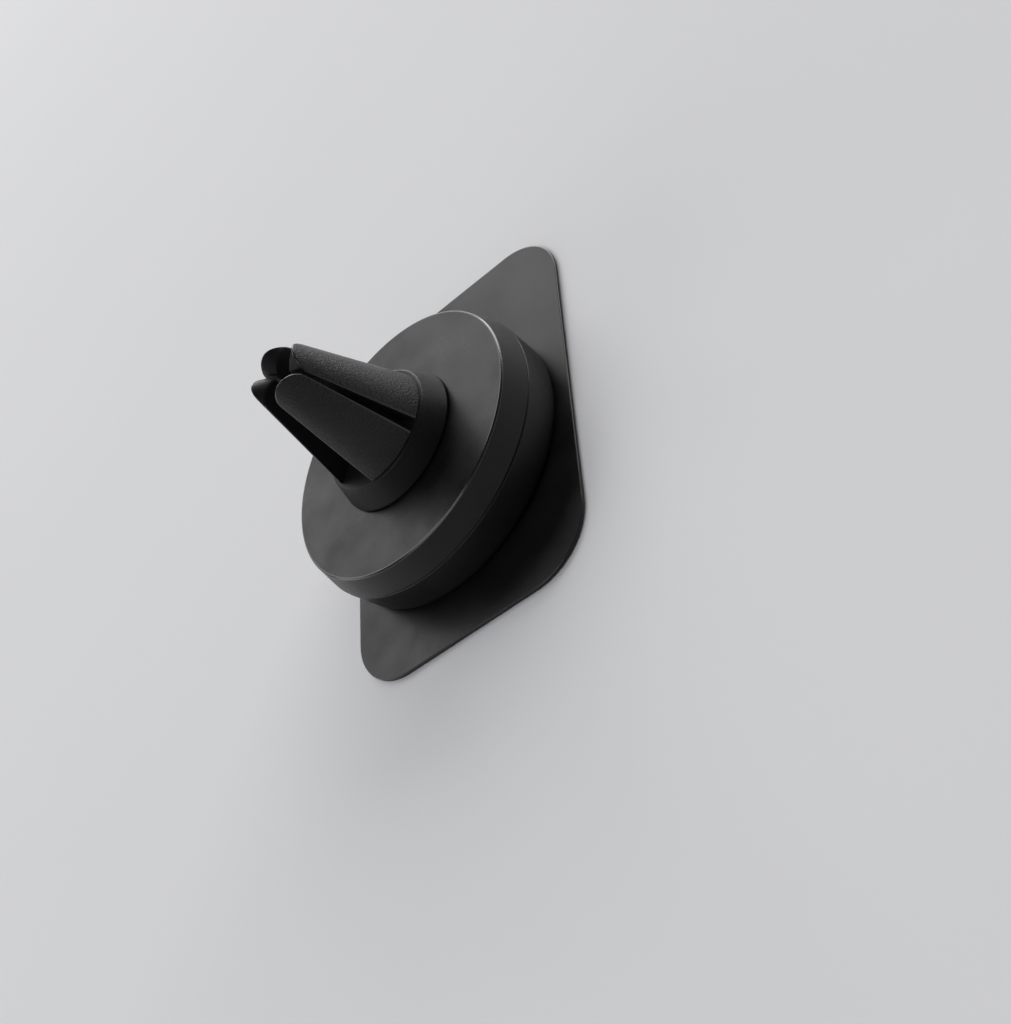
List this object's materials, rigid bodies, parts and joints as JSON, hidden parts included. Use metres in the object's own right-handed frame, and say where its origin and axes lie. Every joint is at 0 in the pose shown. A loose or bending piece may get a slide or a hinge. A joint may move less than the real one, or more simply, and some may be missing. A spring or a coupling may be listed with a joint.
{
  "type": "magnetic car phone mount",
  "caption": "Magnetic phone mount for a car air vent: a flat steel phone plate, a round magnetic head and a rubber clip of slotted prongs that grips a vent blade.",
  "frame": {"origin": "on the head's axis, in the plane of the adhesive that sticks to the phone", "axes": "+Z along the head's axis, from the phone to the clip's tips; +Y along the steel plate's length"},
  "size_m": [0.0469, 0.065, 0.0347],
  "materials": {
    "tape": "matte grey foam tape",
    "coated_steel": "satin black coating",
    "soft_rubber": "matte black rubber",
    "head_plastic": "satin black moulded plastic",
    "nylon": "plain dark nylon",
    "nickel": "bright nickel plating",
    "zinc_steel": "zinc-plated steel"
  },
  "bodies": {
    "plate": {"steel_plate": "coated_steel", "plate_adhesive": "tape"},
    "head": {"rear_shell": "head_plastic", "front_cap": "soft_rubber", "magnet_carrier": "head_plastic", "magnet_1": "nickel", "magnet_2": "nickel", "magnet_3": "nickel", "magnet_4": "nickel", "magnet_5": "nickel", "magnet_6": "nickel", "yoke_plate": "zinc_steel", "shell_screws": "zinc_steel", "friction_ring": "nylon"},
    "clip": {"clip_collar": "soft_rubber", "clip_core": "nylon", "pivot_screw": "zinc_steel", "pivot_washer": "zinc_steel"},
    "prong_1": {"prong_1": "soft_rubber"},
    "prong_2": {"prong_2": "soft_rubber"},
    "prong_3": {"prong_3": "soft_rubber"},
    "prong_4": {"prong_4": "soft_rubber"}
  },
  "joints": [
    {"name": "head_lift", "type": "slide", "parent": "plate", "child": "head", "axis": [0, 0, 1], "range_m": [0, 0.03]},
    {"name": "clip_swivel", "type": "hinge", "parent": "head", "child": "clip", "pos_m": [0, 0, 0.0118], "axis": [0, 0, 1], "continuous": true},
    {"name": "prong_1_flex", "type": "hinge", "parent": "clip", "child": "prong_1", "pos_m": [0.00914, 0.00109, 0.0157], "axis": [-0.1184, 0.993, 0], "range_deg": [0, 8], "stiffness_Nm_per_rad": 0.3},
    {"name": "prong_2_flex", "type": "hinge", "parent": "clip", "child": "prong_2", "pos_m": [-0.00362, 0.00846, 0.0157], "axis": [-0.9191, -0.3939, 0], "range_deg": [0, 8], "stiffness_Nm_per_rad": 0.3},
    {"name": "prong_3_flex", "type": "hinge", "parent": "clip", "child": "prong_3", "pos_m": [-0.00914, -0.00109, 0.0157], "axis": [0.1184, -0.993, 0], "range_deg": [0, 8], "stiffness_Nm_per_rad": 0.3},
    {"name": "prong_4_flex", "type": "hinge", "parent": "clip", "child": "prong_4", "pos_m": [0.00362, -0.00846, 0.0157], "axis": [0.9191, 0.3939, 0], "range_deg": [0, 8], "stiffness_Nm_per_rad": 0.3}
  ]
}
